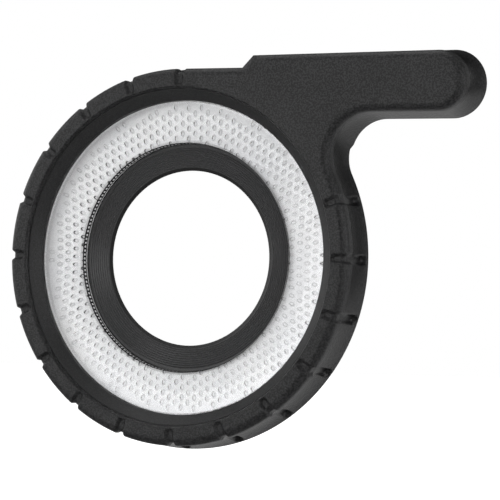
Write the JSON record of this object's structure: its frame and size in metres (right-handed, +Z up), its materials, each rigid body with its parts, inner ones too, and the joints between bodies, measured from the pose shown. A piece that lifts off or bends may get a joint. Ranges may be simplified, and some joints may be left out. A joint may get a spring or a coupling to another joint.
{
  "type": "led light guide ring",
  "caption": "Flat black ring with a side arm that fits round a compact camera's lens and leads its LED light into a clear dimpled ring for macro photographs.",
  "frame": {"origin": "on the lens axis, at the plane where the bayonet flange seats on the camera front", "axes": "+X towards the side of the arm, seen from the front; +Y along the lens axis from the ring's face into the camera; +Z up"},
  "size_m": [0.068, 0.0092, 0.054],
  "materials": {
    "textured_black_plastic": "fine spark texture",
    "smooth_black_plastic": "satin",
    "clear_plastic": "clear, with a dimpled back",
    "white_plastic": "matt white",
    "grooved_black_plastic": "matt, finely grooved",
    "matt_black_plastic": "matt",
    "black_foam": "soft foam",
    "bayonet_black_plastic": "satin",
    "black_steel": "blackened"
  },
  "bodies": {
    "root": {"front_cover": "textured_black_plastic", "outer_bezel": "smooth_black_plastic", "light_guide": "clear_plastic", "ring_reflector": "white_plastic", "arm_reflector": "white_plastic", "inner_bezel": "grooved_black_plastic", "rear_cover": "matt_black_plastic", "inlet_gasket": "black_foam", "bayonet_ring": "bayonet_black_plastic", "bayonet_screws": "black_steel"}
  },
  "joints": []
}
